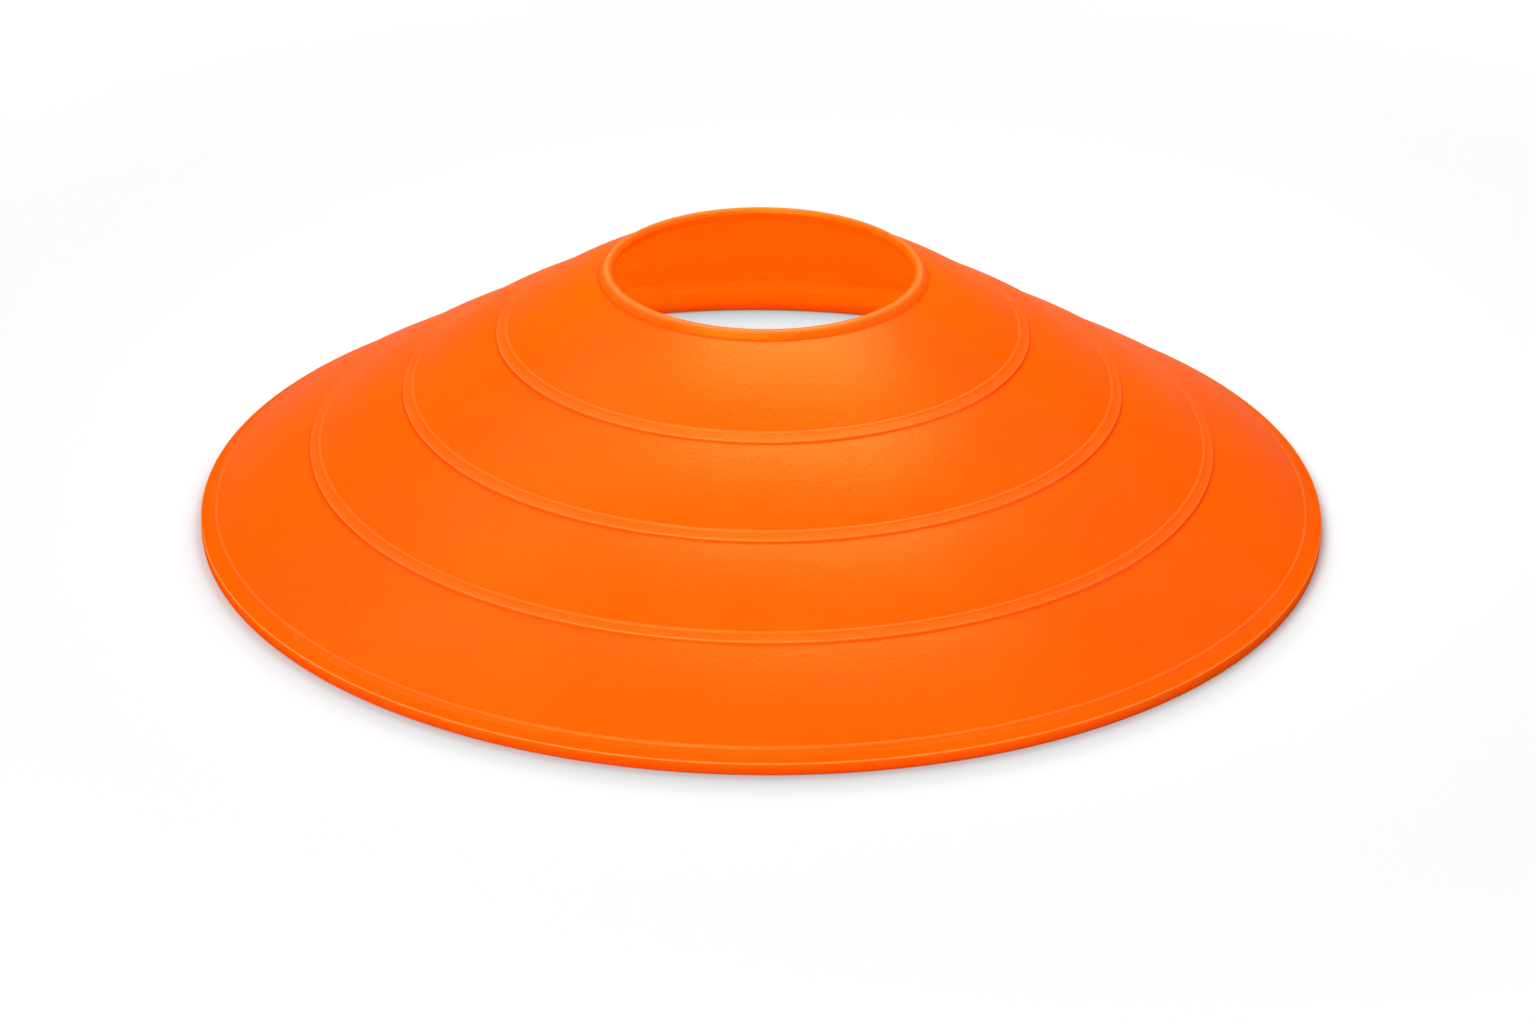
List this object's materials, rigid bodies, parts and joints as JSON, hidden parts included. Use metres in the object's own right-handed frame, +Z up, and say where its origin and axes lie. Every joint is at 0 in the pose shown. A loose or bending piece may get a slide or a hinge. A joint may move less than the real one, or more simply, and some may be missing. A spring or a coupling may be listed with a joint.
{
  "type": "disc marker cone",
  "caption": "Flat disc marker cone: a hollow stepped shell in soft plastic that marks a spot on a pitch, with a round carrying hole at the top.",
  "frame": {"origin": "on the ground, under the middle of the carrying hole", "axes": "+Z up along the cone's axis, through the carrying hole; X and Y are any two directions across, because the cone is round"},
  "size_m": [0.19, 0.19, 0.0444],
  "materials": {
    "orange_plastic": "satin"
  },
  "bodies": {
    "root": {"cone_shell": "orange_plastic"}
  },
  "joints": []
}
